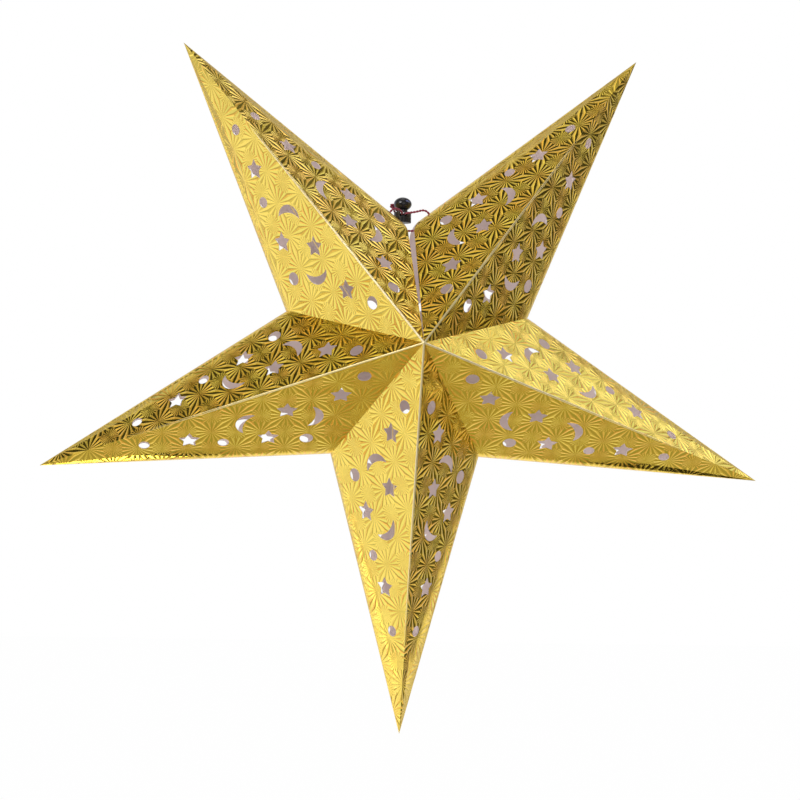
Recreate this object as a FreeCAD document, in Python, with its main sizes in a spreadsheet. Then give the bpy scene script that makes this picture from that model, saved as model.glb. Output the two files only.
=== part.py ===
import FreeCAD, Part
import math
import os

import Sketcher
from FreeCAD import Placement, Rotation, Vector

# Folding five-pointed star lantern of punched foil card, closed by a drawcord.
# Millimetres, +Z up, front towards -Y, star standing in the XZ plane.
# The origin is the hanging point: the notch between the two upper points.

SIZES = {
    # star
    "tip_radius": 315.0,
    "notch_radius": 105.5,
    "half_depth": 115.0,
    "point_pitch": 71.4,
    "card_thickness": 0.5,
    "bend_radius": 20.0,
    # glue tabs along the valleys
    "tab_width": 10.0,
    "tab_root": 1.0,
    "tab_side_gap": 20.0,
    "tab_apex_gap": 14.0,
    # punched holes
    "small_dot_radius": 4.5,
    "large_dot_radius": 5.4,
    "star_hole_radius": 8.8,
    "star_hole_waist": 4.7,
    "moon_radius": 11.8,
    "moon_bite_radius": 18.6,
    "moon_width": 6.6,
    "punch_reach": 3.0,
    # free edges of the two upper points
    "corner_radius": 16.0,
    "cord_hole_radius": 1.5,
    "cord_hole_inset": 18.0,
    # drawcord
    "cord_radius": 0.9,
    "knot_radius": 2.6,
    # cord lock
    "lock_x": -3.6,
    "lock_y": 18.0,
    "lock_z": 11.0,
    "barrel_radius": 7.2,
    "barrel_drop": 6.6,
    "barrel_floor": 1.2,
    "rim_height": 0.6,
    "window_height": 3.2,
    "window_width": 6.5,
    "rib_count": 18.0,
    "rib_groove_radius": 0.5,
    "rib_band": 4.0,
    "stem_radius": 4.1,
    "stem_clearance": 0.1,
    "stem_hole_width": 5.0,
    "stem_web": 2.0,
    "button_travel": 1.2,
    "head_radius": 7.5,
    "head_height": 11.4,
    "spring_wire": 0.4,
    "spring_radius": 3.3,
    "spring_turns": 2.5,
}

# Holes of one face, from the tip inwards: kind, share of the way from the tip
# to the valley, share of the way across from the side fold to the ridge, turn.
FACE_HOLES = {
    "tip_dot": ("small_dot", 0.314, 0.531, 0.0),
    "tip_star": ("star", 0.459, 0.446, 18.0),
    "side_dot": ("small_dot", 0.584, 0.312, 0.0),
    "ridge_moon": ("moon", 0.589, 0.603, -22.0),
    "side_star": ("star", 0.728, 0.304, 18.0),
    "ridge_star": ("star", 0.719, 0.626, 18.0),
    "side_dot_inner": ("large_dot", 0.865, 0.243, 0.0),
    "valley_moon": ("moon", 0.850, 0.461, 172.0),
    "apex_star": ("star", 0.863, 0.668, 18.0),
    "apex_dot": ("large_dot", 0.891, 0.820, 0.0),
}

# Points of the drawcord, from the knot through the lock and both card holes
# and back, chosen by hand.
KNOT_CENTRE = Vector(-10.2, 27.4, 19.0)
CORD_ROUTE = [
    (-10.8, 27.0, 19.2),
    (-9.4, 29.6, 14.0),
    (-4.7, 28.6, 11.65),
    (-4.7, 8.0, 11.65),
    (-8.4, 3.2, 13.8),
    (-13.6, 0.0, 14.2),
    (-19.1, 0.0, 7.1),
    (-12.0, 0.6, -4.4),
    (12.0, -0.6, -4.4),
    (19.1, 0.0, 7.1),
    (13.6, 0.0, 14.2),
    (5.2, 4.4, 12.0),
    (-2.5, 8.0, 11.65),
    (-2.5, 28.6, 11.65),
    (-5.6, 31.6, 14.8),
    (-9.6, 27.9, 18.6),
]
ARC_SHARE = 0.45

POINTS = {
    "point_upper_left": -2,
    "point_lower_left": -1,
    "point_bottom": 0,
    "point_lower_right": 1,
    "point_upper_right": 2,
}
BOTTOM_ANGLE = 270.0
TURN_AXIS = Vector(0, -1, 0)

doc = FreeCAD.newDocument("star_lantern")
sheet = doc.addObject("Spreadsheet::Sheet", "Sizes")
worked = doc.addObject("App::VarSet", "Worked")


def fill_sheet():
    """Writes every driving size into the sheet under its own name."""
    cells = dict(SIZES)
    for hole, (kind, along, across, turn) in FACE_HOLES.items():
        cells[hole + "_along"] = along
        cells[hole + "_across"] = across
        if kind in ("star", "moon"):
            cells[hole + "_turn"] = turn
    for row, (alias, value) in enumerate(cells.items(), start=1):
        sheet.set("A%d" % row, alias)
        sheet.set("B%d" % row, repr(float(value)))
        sheet.setAlias("B%d" % row, alias)
    doc.recompute()


def size(alias):
    return float(sheet.get(alias))


def bind(obj, prop, expression):
    obj.setExpression(prop, expression)


def work_out(name, expression):
    """Adds a worked-out value that follows the sheet."""
    worked.addProperty("App::PropertyFloat", name)
    bind(worked, name, expression)


def work_out_star():
    """The sharp folds that the soft side bends round off, and the face's own sizes."""
    work_out("half_pitch", "Sizes.point_pitch / 2")
    work_out("bend_centre", "Sizes.notch_radius - Sizes.bend_radius")
    work_out(
        "valley_lean",
        "asin(Sizes.bend_radius / sqrt(Sizes.half_depth ^ 2 + Worked.bend_centre ^ 2)) / 1 deg"
        " + atan(Worked.bend_centre / Sizes.half_depth) / 1 deg",
    )
    work_out("sharp_notch", "Sizes.half_depth * tan(Worked.valley_lean * 1 deg)")
    work_out("tip_x", "Sizes.tip_radius * cos(Worked.half_pitch * 1 deg)")
    work_out("tip_drop", "Sizes.tip_radius * sin(Worked.half_pitch * 1 deg)")
    work_out(
        "fold_length",
        "sqrt((Worked.tip_x - Worked.sharp_notch) ^ 2 + Worked.tip_drop ^ 2)",
    )
    work_out(
        "fold_angle",
        "90 + atan((Worked.tip_x - Worked.sharp_notch) / Worked.tip_drop) / 1 deg",
    )
    work_out("fold_reach", "Worked.sharp_notch * Worked.tip_drop / Worked.fold_length")
    work_out("face_slope", "atan(Sizes.half_depth / Worked.fold_reach) / 1 deg")
    work_out("face_width", "sqrt(Worked.fold_reach ^ 2 + Sizes.half_depth ^ 2)")
    work_out("apex_along", "sqrt(Sizes.tip_radius ^ 2 - Worked.fold_reach ^ 2)")
    work_out("face_distance", "Sizes.half_depth * cos(Worked.face_slope * 1 deg)")
    work_out("wall_scale", "1 - Sizes.card_thickness / Worked.face_distance")


def profile_sketch(name, scale):
    """Section of a point on a valley plane: two straight legs and the soft side bend."""
    depth = size("half_depth")
    bend = size("bend_radius")
    centre_x = size("notch_radius") - bend
    lean = math.radians(worked.valley_lean)
    touch = Vector(centre_x + bend * math.cos(lean), bend * math.sin(lean), 0)
    sketch = doc.addObject("Sketcher::SketchObject", name)
    front, back = Vector(0, depth, 0), Vector(0, -depth, 0)
    touch_back = Vector(touch.x, -touch.y, 0)
    circle = Part.Circle(Vector(centre_x, 0, 0), Vector(0, 0, 1), bend)
    sketch.addGeometry(Part.LineSegment(front, touch))
    sketch.addGeometry(Part.ArcOfCircle(circle, -lean, lean))
    sketch.addGeometry(Part.LineSegment(touch_back, back))
    sketch.addGeometry(Part.LineSegment(back, front))
    rules = [
        ("Tangent", 0, 2, 1, 2),
        ("Tangent", 1, 1, 2, 1),
        ("Coincident", 2, 2, 3, 1),
        ("Coincident", 3, 2, 0, 1),
        ("PointOnObject", 1, 3, -1),
        ("PointOnObject", 0, 1, -2),
        ("Symmetric", 0, 1, 2, 2, -1, 1),
    ]
    for rule in rules:
        sketch.addConstraint(Sketcher.Constraint(*rule))
    drive(sketch, ("DistanceY", -1, 1, 0, 1), depth, "Sizes.half_depth * %s" % scale)
    drive(sketch, ("Radius", 1), bend, "Sizes.bend_radius * %s" % scale)
    drive(sketch, ("DistanceX", -1, 1, 1, 3), centre_x, "Worked.bend_centre * %s" % scale)
    return sketch


def drive(sketch, rule, value, expression):
    """Adds one sized constraint to a sketch and ties it to the sheet."""
    index = sketch.addConstraint(Sketcher.Constraint(*rule, value))
    sketch.setExpression("Constraints[%d]" % index, expression)


def spike(name, scale):
    """Solid half point between its ridge plane and its valley plane, valley on the XY plane."""
    profile = profile_sketch(name + "_profile", scale)
    tip = doc.addObject("Part::Vertex", name + "_tip")
    bind(tip, "X", "Worked.tip_x * %s" % scale)
    bind(tip, "Z", "-Worked.tip_drop * %s" % scale)
    loft = doc.addObject("Part::Loft", name)
    loft.Sections = [profile, tip]
    loft.Solid = True
    loft.Ruled = True
    return loft


def cylinder(name, radius, reach="Sizes.punch_reach"):
    """Cylinder along Z, centred on its own origin."""
    punch = doc.addObject("Part::Cylinder", name)
    bind(punch, "Radius", radius)
    bind(punch, "Height", "2 * " + reach)
    bind(punch, "Placement.Base.z", "-" + reach)
    return punch


def star_punch():
    """Five-pointed star prism with blunt proportions."""
    outer, inner = size("star_hole_radius"), size("star_hole_waist")
    sketch = doc.addObject("Sketcher::SketchObject", "star_punch_outline")
    corners = []
    for step in range(10):
        angle = 36 * step
        radius = outer if step % 2 == 0 else inner
        turned = math.radians(angle)
        corners.append(Vector(radius * math.cos(turned), radius * math.sin(turned), 0))
    for step in range(10):
        sketch.addGeometry(Part.LineSegment(corners[step], corners[(step + 1) % 10]))
    for step in range(10):
        sketch.addConstraint(Sketcher.Constraint("Coincident", step, 2, (step + 1) % 10, 1))
    for step, corner in enumerate(corners):
        alias = "star_hole_radius" if step % 2 == 0 else "star_hole_waist"
        turn = "%d deg" % (36 * step)
        along = "Sizes.%s * cos(%s)" % (alias, turn)
        across = "Sizes.%s * sin(%s)" % (alias, turn)
        drive(sketch, ("DistanceX", -1, 1, step, 1), corner.x, along)
        drive(sketch, ("DistanceY", -1, 1, step, 1), corner.y, across)
    prism = doc.addObject("Part::Extrusion", "star_punch")
    prism.Base = sketch
    prism.Dir = Vector(0, 0, 1)
    prism.DirMode = "Custom"
    prism.Solid = True
    bind(prism, "LengthFwd", "Sizes.punch_reach")
    bind(prism, "LengthRev", "Sizes.punch_reach")
    return prism


def moon_punch():
    """Crescent prism with its middle on the Z axis, its round back on the -X side."""
    back = "Sizes.moon_width / 2"
    disc = cylinder("moon_disc", "Sizes.moon_radius")
    bind(disc, "Placement.Base.x", "Sizes.moon_radius - " + back)
    bite = cylinder("moon_bite", "Sizes.moon_bite_radius", "2 * Sizes.punch_reach")
    bind(bite, "Placement.Base.x", "Sizes.moon_bite_radius + " + back)
    punch = doc.addObject("Part::Cut", "moon_punch")
    punch.Base = disc
    punch.Tool = bite
    return punch


def face_punches():
    """All ten punches of one front face, laid out in the flat face and then tilted onto it."""
    tools = {
        "small_dot": cylinder("small_dot_punch", "Sizes.small_dot_radius"),
        "large_dot": cylinder("large_dot_punch", "Sizes.large_dot_radius"),
        "star": star_punch(),
        "moon": moon_punch(),
    }
    placed = []
    for hole, (kind, along, across, turn) in FACE_HOLES.items():
        copy = doc.addObject("Part::Compound", hole)
        copy.Links = [tools[kind]]
        way = "Sizes.%s_along" % hole
        share = "Sizes.%s_across" % hole
        row = "((1 - %s) * Worked.fold_length + %s * Worked.apex_along)" % (share, share)
        if kind in ("star", "moon"):
            copy.Placement = Placement(Vector(), Rotation(Vector(0, 0, 1), turn))
            bind(copy, "Placement.Rotation.Angle", "Sizes.%s_turn" % hole)
        bind(copy, "Placement.Base.x", "%s * %s" % (way, row))
        bind(copy, "Placement.Base.y", "%s * %s * Worked.face_width" % (way, share))
        placed.append(copy)
    flat = doc.addObject("Part::Compound", "face_pattern")
    flat.Links = placed
    flat.Placement = Placement(Vector(), Rotation(Vector(1, 0, 0), 90 + worked.face_slope))
    bind(flat, "Placement.Rotation.Angle", "90 + Worked.face_slope")
    front = doc.addObject("Part::Compound", "front_punches")
    front.Links = [flat]
    front.Placement = Placement(Vector(), Rotation(TURN_AXIS, worked.fold_angle))
    bind(front, "Placement.Rotation.Angle", "Worked.fold_angle")
    bind(front, "Placement.Base.x", "Worked.tip_x")
    bind(front, "Placement.Base.z", "-Worked.tip_drop")
    back = mirrored("back_punches", front, Vector(0, 1, 0))
    return [front, back]


def mirrored(name, source, normal):
    twin = doc.addObject("Part::Mirroring", name)
    twin.Source = source
    twin.Normal = normal
    return twin


def cut(name, base, tool):
    result = doc.addObject("Part::Cut", name)
    result.Base = base
    result.Tool = tool
    return result


def group(name, members):
    result = doc.addObject("Part::Compound", name)
    result.Links = members
    return result


def turn_to_arm(name, source):
    """Turns a half point from its valley plane so that its ridge lies over the X axis."""
    turned = group(name, [source])
    turned.Placement = Placement(Vector(), Rotation(TURN_AXIS, worked.half_pitch))
    bind(turned, "Placement.Rotation.Angle", "Worked.half_pitch")
    return turned


def glue_tab(inner, innermost):
    """Tabs folded under the next point's faces, front and back, one layer of card deep."""
    layer = cut("tab_layer", inner, innermost)
    next_layer = mirrored("tab_next_layer", layer, Vector(0, 0, 1))
    strips = []
    for side, name in ((1, "back"), (-1, "front")):
        strip = doc.addObject("Part::Box", "tab_strip_" + name)
        bind(strip, "Length", "Worked.sharp_notch - Sizes.tab_apex_gap")
        bind(strip, "Width", "Sizes.half_depth - Sizes.tab_side_gap")
        bind(strip, "Height", "Sizes.tab_width + Sizes.tab_root")
        bind(strip, "Placement.Base.x", "Sizes.tab_apex_gap")
        start = "Sizes.tab_side_gap" if side > 0 else "-Sizes.half_depth"
        bind(strip, "Placement.Base.y", start)
        bind(strip, "Placement.Base.z", "-Sizes.tab_root")
        strips.append(strip)
    both = doc.addObject("Part::Fuse", "tab_layers")
    both.Base = layer
    both.Tool = next_layer
    tab = doc.addObject("Part::Common", "tab")
    tab.Base = both
    tab.Tool = group("tab_strips", strips)
    return tab


def free_edge_tools():
    """Corner rounding and cord hole of a free edge, valley on the XY plane."""
    block = doc.addObject("Part::Box", "corner_block")
    bind(block, "Length", "2 * Sizes.corner_radius")
    bind(block, "Width", "4 * Sizes.bend_radius")
    bind(block, "Height", "Sizes.corner_radius")
    bind(block, "Placement.Base.x", "Sizes.notch_radius - Worked.corner_run")
    bind(block, "Placement.Base.y", "-2 * Sizes.bend_radius")
    bind(block, "Placement.Base.z", "-Worked.corner_rise")
    round_off = doc.addObject("Part::Cylinder", "corner_round")
    bind(round_off, "Radius", "Sizes.corner_radius")
    bind(round_off, "Height", "5 * Sizes.bend_radius")
    round_off.Placement = Placement(Vector(), Rotation(Vector(1, 0, 0), 90))
    bind(round_off, "Placement.Base.x", "Sizes.notch_radius - Worked.corner_run")
    bind(round_off, "Placement.Base.y", "2.5 * Sizes.bend_radius")
    bind(round_off, "Placement.Base.z", "-Sizes.corner_radius")
    corner = cut("corner_cutter", block, round_off)
    hole = doc.addObject("Part::Cylinder", "cord_hole_punch")
    bind(hole, "Radius", "Sizes.cord_hole_radius")
    bind(hole, "Height", "2 * Sizes.punch_reach")
    hole.Placement = Placement(Vector(), Rotation(TURN_AXIS, worked.edge_angle))
    bind(hole, "Placement.Rotation.Angle", "Worked.edge_angle - 180")
    bind(hole, "Placement.Base.x", "Worked.cord_hole_x")
    bind(hole, "Placement.Base.z", "Worked.cord_hole_z")
    return group("free_edge_cutters", [corner, hole])


def work_out_free_edge():
    """Real side edge from tip to notch, and where the free corner and cord hole lie on it."""
    work_out(
        "edge_angle",
        "90 + atan((Worked.tip_x - Sizes.notch_radius) / Worked.tip_drop) / 1 deg",
    )
    work_out("corner_run", "Sizes.corner_radius / tan(Worked.edge_angle / 2 * 1 deg)")
    work_out("corner_rise", "Worked.corner_run * sin(Worked.edge_angle * 1 deg)")
    work_out(
        "cord_hole_x",
        "Sizes.notch_radius - Sizes.cord_hole_inset * cos(Worked.edge_angle * 1 deg)"
        " - Sizes.punch_reach * sin(Worked.edge_angle * 1 deg)",
    )
    work_out(
        "cord_hole_z",
        "-Sizes.cord_hole_inset * sin(Worked.edge_angle * 1 deg)"
        " + Sizes.punch_reach * cos(Worked.edge_angle * 1 deg)",
    )


def make_points():
    """The five folded cards, alike apart from the open seam between the two upper ones."""
    outer = spike("outer_spike", "1")
    inner = spike("inner_spike", "Worked.wall_scale")
    innermost = spike("innermost_spike", "Worked.wall_scale ^ 2")
    blank = cut("half_blank", outer, inner)
    plain = cut("half_card", blank, group("half_punches", face_punches()))
    free = cut("half_card_free", plain, free_edge_tools())
    plus_side = turn_to_arm("plus_half", plain)
    minus_side = mirrored("minus_half", plus_side, Vector(0, 0, 1))
    plus_free = turn_to_arm("plus_half_free", free)
    minus_free = mirrored("minus_half_free", plus_free, Vector(0, 0, 1))
    tab = turn_to_arm("tab_in_place", glue_tab(inner, innermost))
    halves = {name: [plus_side, minus_side, tab] for name in POINTS}
    halves["point_upper_left"] = [plus_side, minus_free, tab]
    halves["point_upper_right"] = [plus_free, minus_side]
    nodes = []
    for name, steps in POINTS.items():
        card = doc.addObject("Part::MultiFuse", name)
        card.Shapes = halves[name]
        card.Placement = Placement(Vector(), Rotation(TURN_AXIS, 10))
        angle = "%s + %d * Sizes.point_pitch" % (BOTTOM_ANGLE, steps)
        bind(card, "Placement.Rotation.Angle", angle)
        bind(card, "Placement.Base.z", "-Sizes.notch_radius")
        nodes.append(card)
    return nodes


def lock_body(name):
    """A body at the cord lock's place, its origin at the middle of the cord window."""
    result = doc.addObject("PartDesign::Body", name)
    place_at_lock(result)
    return result


def place_at_lock(obj):
    for axis in "xyz":
        bind(obj, "Placement.Base." + axis, "Sizes.lock_" + axis)


def origin_part(owner, role):
    return [item for item in owner.Origin.OriginFeatures if item.Role == role][0]


def body_sketch(owner, name, role):
    """A sketch on one of the body's own origin planes."""
    sketch = owner.newObject("Sketcher::SketchObject", name)
    sketch.AttachmentSupport = [(origin_part(owner, role), "")]
    sketch.MapMode = "FlatFace"
    return sketch


def value_of(rule):
    return float(worked.evalExpression(rule))


def rectangle(sketch, left, low, right, high):
    """Rectangle whose four sides follow rules."""
    corners = [(left, low), (right, low), (right, high), (left, high)]
    spots = [Vector(value_of(x_rule), value_of(y_rule), 0) for x_rule, y_rule in corners]
    for index in range(4):
        sketch.addGeometry(Part.LineSegment(spots[index], spots[(index + 1) % 4]))
    for index in range(4):
        sketch.addConstraint(Sketcher.Constraint("Coincident", index, 2, (index + 1) % 4, 1))
    for index, (x_rule, y_rule) in enumerate(corners):
        drive(sketch, ("DistanceX", -1, 1, index, 1), spots[index].x, x_rule)
        drive(sketch, ("DistanceY", -1, 1, index, 1), spots[index].y, y_rule)


def circle_sketch(owner, name, radius):
    """Circle about the body's axis."""
    sketch = body_sketch(owner, name, "XY_Plane")
    sketch.addGeometry(Part.Circle(Vector(), Vector(0, 0, 1), value_of(radius)))
    sketch.addConstraint(Sketcher.Constraint("Coincident", 0, 3, -1, 1))
    drive(sketch, ("Radius", 0), value_of(radius), radius)
    return sketch


def work_out_lock():
    """Heights inside the cord lock, from the middle of its cord window."""
    work_out("window_top", "Sizes.window_height / 2")
    work_out("rim_top", "Worked.window_top + Sizes.rim_height")
    work_out("bore_radius", "Sizes.stem_radius + Sizes.stem_clearance")
    work_out("bore_floor", "Sizes.barrel_floor - Sizes.barrel_drop")
    work_out("rib_top", "Sizes.rib_band - Sizes.barrel_drop")
    work_out("stem_hole_low", "Worked.window_top - 2 * Sizes.cord_radius - Sizes.stem_clearance")
    work_out("head_low", "Worked.rim_top + Sizes.button_travel + Sizes.stem_clearance")
    work_out("stem_low", "Worked.stem_hole_low - Sizes.stem_web")
    work_out("spring_seat", "Worked.bore_floor + (Sizes.spring_wire + Sizes.stem_clearance) / 2")
    work_out(
        "spring_height",
        "Worked.stem_low - Worked.spring_seat - (Sizes.spring_wire + Sizes.stem_clearance) / 2",
    )


def make_barrel():
    """Ribbed barrel with a blind bore and the cord window through it."""
    barrel = lock_body("cord_lock_barrel")
    drum = barrel.newObject("PartDesign::Pad", "barrel_drum")
    drum.Profile = circle_sketch(barrel, "barrel_circle", "Sizes.barrel_radius")
    drum.SideType = "Two sides"
    bind(drum, "Length", "Worked.rim_top")
    bind(drum, "Length2", "Sizes.barrel_drop")
    bore = barrel.newObject("PartDesign::Pocket", "barrel_bore")
    bore.Profile = circle_sketch(barrel, "bore_circle", "Worked.bore_radius")
    bore.SideType = "Two sides"
    bind(bore, "Length", "-Worked.bore_floor")
    bind(bore, "Length2", "2 * Worked.rim_top")
    window = barrel.newObject("PartDesign::Pocket", "cord_window")
    outline = body_sketch(barrel, "window_outline", "XZ_Plane")
    half = "Sizes.window_width / 2"
    rectangle(outline, "-" + half, "-Worked.window_top", half, "Worked.window_top")
    window.Profile = outline
    window.SideType = "Symmetric"
    bind(window, "Length", "3 * Sizes.barrel_radius")
    groove = barrel.newObject("PartDesign::Pocket", "rib_groove")
    mark = body_sketch(barrel, "groove_circle", "XY_Plane")
    bind(mark, "AttachmentOffset.Base.z", "Worked.rib_top")
    reach = size("barrel_radius")
    mark.addGeometry(Part.Circle(Vector(reach, 0, 0), Vector(0, 0, 1), size("rib_groove_radius")))
    mark.addConstraint(Sketcher.Constraint("PointOnObject", 0, 3, -1))
    drive(mark, ("DistanceX", -1, 1, 0, 3), reach, "Sizes.barrel_radius")
    drive(mark, ("Radius", 0), size("rib_groove_radius"), "Sizes.rib_groove_radius")
    groove.Profile = mark
    bind(groove, "Length", "2 * Sizes.rib_band")
    doc.recompute()
    ribs = barrel.newObject("PartDesign::PolarPattern", "rib_grooves")
    ribs.Originals = [groove]
    ribs.Axis = (origin_part(barrel, "Z_Axis"), [""])
    ribs.Angle = 360
    bind(ribs, "Occurrences", "Sizes.rib_count")
    barrel.Tip = ribs
    return barrel


def make_button():
    """Flattened ball head on a stem that has the second cord hole through it."""
    head = doc.addObject("Part::Ellipsoid", "button_head")
    bind(head, "Radius1", "Sizes.head_height / 2")
    bind(head, "Radius2", "Sizes.head_radius")
    bind(head, "Radius3", "Sizes.head_radius")
    bind(head, "Placement.Base.z", "Worked.head_low + Sizes.head_height / 2")
    stem = doc.addObject("Part::Cylinder", "button_stem")
    bind(stem, "Radius", "Sizes.stem_radius")
    bind(stem, "Height", "Worked.head_low + Sizes.head_height / 2 - Worked.stem_low")
    bind(stem, "Placement.Base.z", "Worked.stem_low")
    solid = doc.addObject("Part::Fuse", "button_solid")
    solid.Base = head
    solid.Tool = stem
    slot = doc.addObject("Part::Box", "stem_hole")
    bind(slot, "Length", "Sizes.stem_hole_width")
    bind(slot, "Width", "4 * Sizes.stem_radius")
    bind(slot, "Height", "Sizes.window_height")
    bind(slot, "Placement.Base.x", "-Sizes.stem_hole_width / 2")
    bind(slot, "Placement.Base.y", "-2 * Sizes.stem_radius")
    bind(slot, "Placement.Base.z", "Worked.stem_hole_low")
    button = cut("cord_lock_button", solid, slot)
    place_at_lock(button)
    return button


def make_spring():
    """Coil spring of square wire between the barrel's floor and the button's stem."""
    height = worked.spring_height
    coil = Part.makeLongHelix(height / size("spring_turns"), height, size("spring_radius"))
    half = size("spring_wire") / 2
    inner, outer = size("spring_radius") - half, size("spring_radius") + half
    corners = [
        Vector(inner, 0, -half),
        Vector(outer, 0, -half),
        Vector(outer, 0, half),
        Vector(inner, 0, half),
    ]
    section = Part.makePolygon(corners + corners[:1])
    spring = doc.addObject("Part::Feature", "cord_lock_spring")
    spring.Shape = Part.Wire(coil.Edges).makePipeShell([section], True, True)
    place_at_lock(spring)
    bind(spring, "Placement.Base.z", "Sizes.lock_z + Worked.spring_seat")
    return spring


def cord_line(points):
    """Straight runs joined by tangent arcs; prints the arcs' radii."""
    edges = []
    radii = []
    start = points[0]
    for before, corner, after in zip(points, points[1:], points[2:]):
        arriving = (corner - before).normalize()
        leaving = (after - corner).normalize()
        shorter = min(corner.distanceToPoint(before), corner.distanceToPoint(after))
        reach = ARC_SHARE * shorter
        half_turn = arriving.getAngle(leaving) / 2
        radius = reach / math.tan(half_turn)
        first = corner - arriving * reach
        last = corner + leaving * reach
        inward = (leaving - arriving).normalize()
        middle = corner + inward * (radius / math.cos(half_turn) - radius)
        edges.append(Part.LineSegment(start, first).toShape())
        edges.append(Part.Arc(first, middle, last).toShape())
        radii.append(round(radius, 1))
        start = last
    edges.append(Part.LineSegment(start, points[-1]).toShape())
    print("cord arc radii", radii)
    return Part.Wire(edges)


def make_cord():
    """Drawcord through the lock and the two card holes, its ends tied in one knot."""
    points = [Vector(*spot) for spot in CORD_ROUTE]
    line = cord_line(points)
    radius = size("cord_radius")
    ring = Part.Circle(points[0], points[1] - points[0], radius)
    tube = line.makePipeShell([Part.Wire(ring.toShape())], True, False)
    expected = math.pi * radius ** 2 * line.Length
    print("cord length", round(line.Length, 1), "volume share", round(tube.Volume / expected, 4))
    knot = Part.makeSphere(size("knot_radius"), KNOT_CENTRE)
    cord = doc.addObject("Part::Feature", "tie_cord")
    cord.Shape = tube.fuse(knot)
    return cord


def failed_objects():
    return [
        obj.Name for obj in doc.Objects if "Invalid" in obj.State or "Error" in obj.State
    ]


def write_parts(nodes):
    """Checks the whole document, then writes one file for each sub-part."""
    doc.recompute()
    if failed_objects():
        raise RuntimeError("failed: " + ", ".join(failed_objects()))
    for node in nodes:
        if node.Shape.isNull() or not node.Shape.isValid():
            raise RuntimeError("bad shape: " + node.Label)
        if len(node.Shape.Solids) != 1:
            raise RuntimeError("not one solid: " + node.Label)
    os.makedirs("parts", exist_ok=True)
    for node in nodes:
        node.Shape.exportStep("parts/%s.step" % node.Label)
        print(node.Label, "%.1f mm3" % node.Shape.Volume)


fill_sheet()
work_out_star()
work_out_free_edge()
work_out_lock()
doc.recompute()
sub_parts = make_points()
sub_parts.append(make_cord())
sub_parts.append(make_barrel())
sub_parts.append(make_button())
sub_parts.append(make_spring())
write_parts(sub_parts)
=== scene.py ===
import math

import bmesh
import bpy
from bpy.props import FloatProperty, FloatVectorProperty, IntProperty, PointerProperty
from mathutils import Matrix, Vector


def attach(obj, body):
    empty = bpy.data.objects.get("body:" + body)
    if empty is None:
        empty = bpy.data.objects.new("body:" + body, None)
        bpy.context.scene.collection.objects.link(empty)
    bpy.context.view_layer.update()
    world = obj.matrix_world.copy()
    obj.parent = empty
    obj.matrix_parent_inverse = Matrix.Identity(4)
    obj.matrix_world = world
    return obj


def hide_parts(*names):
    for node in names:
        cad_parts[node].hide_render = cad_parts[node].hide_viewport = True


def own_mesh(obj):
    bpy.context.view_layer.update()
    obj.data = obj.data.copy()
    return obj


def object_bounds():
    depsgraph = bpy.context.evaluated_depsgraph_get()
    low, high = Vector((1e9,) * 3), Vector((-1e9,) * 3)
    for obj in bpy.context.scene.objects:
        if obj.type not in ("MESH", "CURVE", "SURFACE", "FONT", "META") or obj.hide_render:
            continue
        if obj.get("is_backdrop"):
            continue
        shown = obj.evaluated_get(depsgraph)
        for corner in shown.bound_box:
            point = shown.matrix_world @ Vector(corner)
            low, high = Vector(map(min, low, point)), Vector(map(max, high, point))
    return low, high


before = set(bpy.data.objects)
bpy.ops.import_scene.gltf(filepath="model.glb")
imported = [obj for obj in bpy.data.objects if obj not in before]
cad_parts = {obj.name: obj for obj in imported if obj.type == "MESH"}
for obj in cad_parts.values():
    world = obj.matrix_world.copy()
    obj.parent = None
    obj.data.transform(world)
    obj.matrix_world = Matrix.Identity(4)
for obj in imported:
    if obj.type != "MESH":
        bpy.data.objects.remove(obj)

bl_info = {
    "name": "Folding Star Lantern",
    "version": (1, 0, 0),
    "blender": (4, 5, 0),
    "location": "3D View > Sidebar > Star Lantern",
    "description": "Embossed foil cards, cord, cord lock and studio for a folding star lantern",
    "category": "Object",
}

# The frame: metres, +Z up, front towards -Y, origin at the top notch between the upper points.
STAR_BODY = "star"
CARDS = (
    "point_upper_left",
    "point_lower_left",
    "point_bottom",
    "point_lower_right",
    "point_upper_right",
)
MIDDLE_CARD = 2
# How far the film's pattern is turned on each card, in degrees.
FILM_TURNS = (0.0, 45.0, 45.0, 45.0, 40.0)
POINT_PITCH = math.radians(71.4)
BOTTOM_ARM = math.radians(270)
TIP_RADIUS = 0.315
NOTCH_RADIUS = 0.1055
HALF_DEPTH = 0.115
BEND_RADIUS = 0.020

# Control points of the drawcord, from the knot through the lock and both card holes and back.
CORD_ROUTE = [
    (-0.0108, 0.0270, 0.0192),
    (-0.0094, 0.0296, 0.0140),
    (-0.0047, 0.0286, 0.01165),
    (-0.0047, 0.0080, 0.01165),
    (-0.0084, 0.0032, 0.0138),
    (-0.0136, 0.0000, 0.0142),
    (-0.0191, 0.0000, 0.0071),
    (-0.0120, 0.0006, -0.0044),
    (0.0120, -0.0006, -0.0044),
    (0.0191, 0.0000, 0.0071),
    (0.0136, 0.0000, 0.0142),
    (0.0052, 0.0044, 0.0120),
    (-0.0025, 0.0080, 0.01165),
    (-0.0025, 0.0286, 0.01165),
    (-0.0056, 0.0316, 0.0148),
    (-0.0096, 0.0279, 0.0186),
]
KNOT_CENTRE = Vector((-0.0102, 0.0274, 0.0190))

# The camera of the photograph, about the star's centre.
STAR_CENTRE = Vector((0, 0, -NOTCH_RADIUS))
CAMERA_DISTANCE = 1.890
CAMERA_TURN = tuple(math.radians(angle) for angle in (-2.6587, 6.6488, -1.1470))
CAMERA_SHIFT = (0.00551, 0.03967)
FOCAL_PIXELS = 2277.2
IMAGE_WIDTH = 800
SENSOR_WIDTH = 36.0


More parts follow.
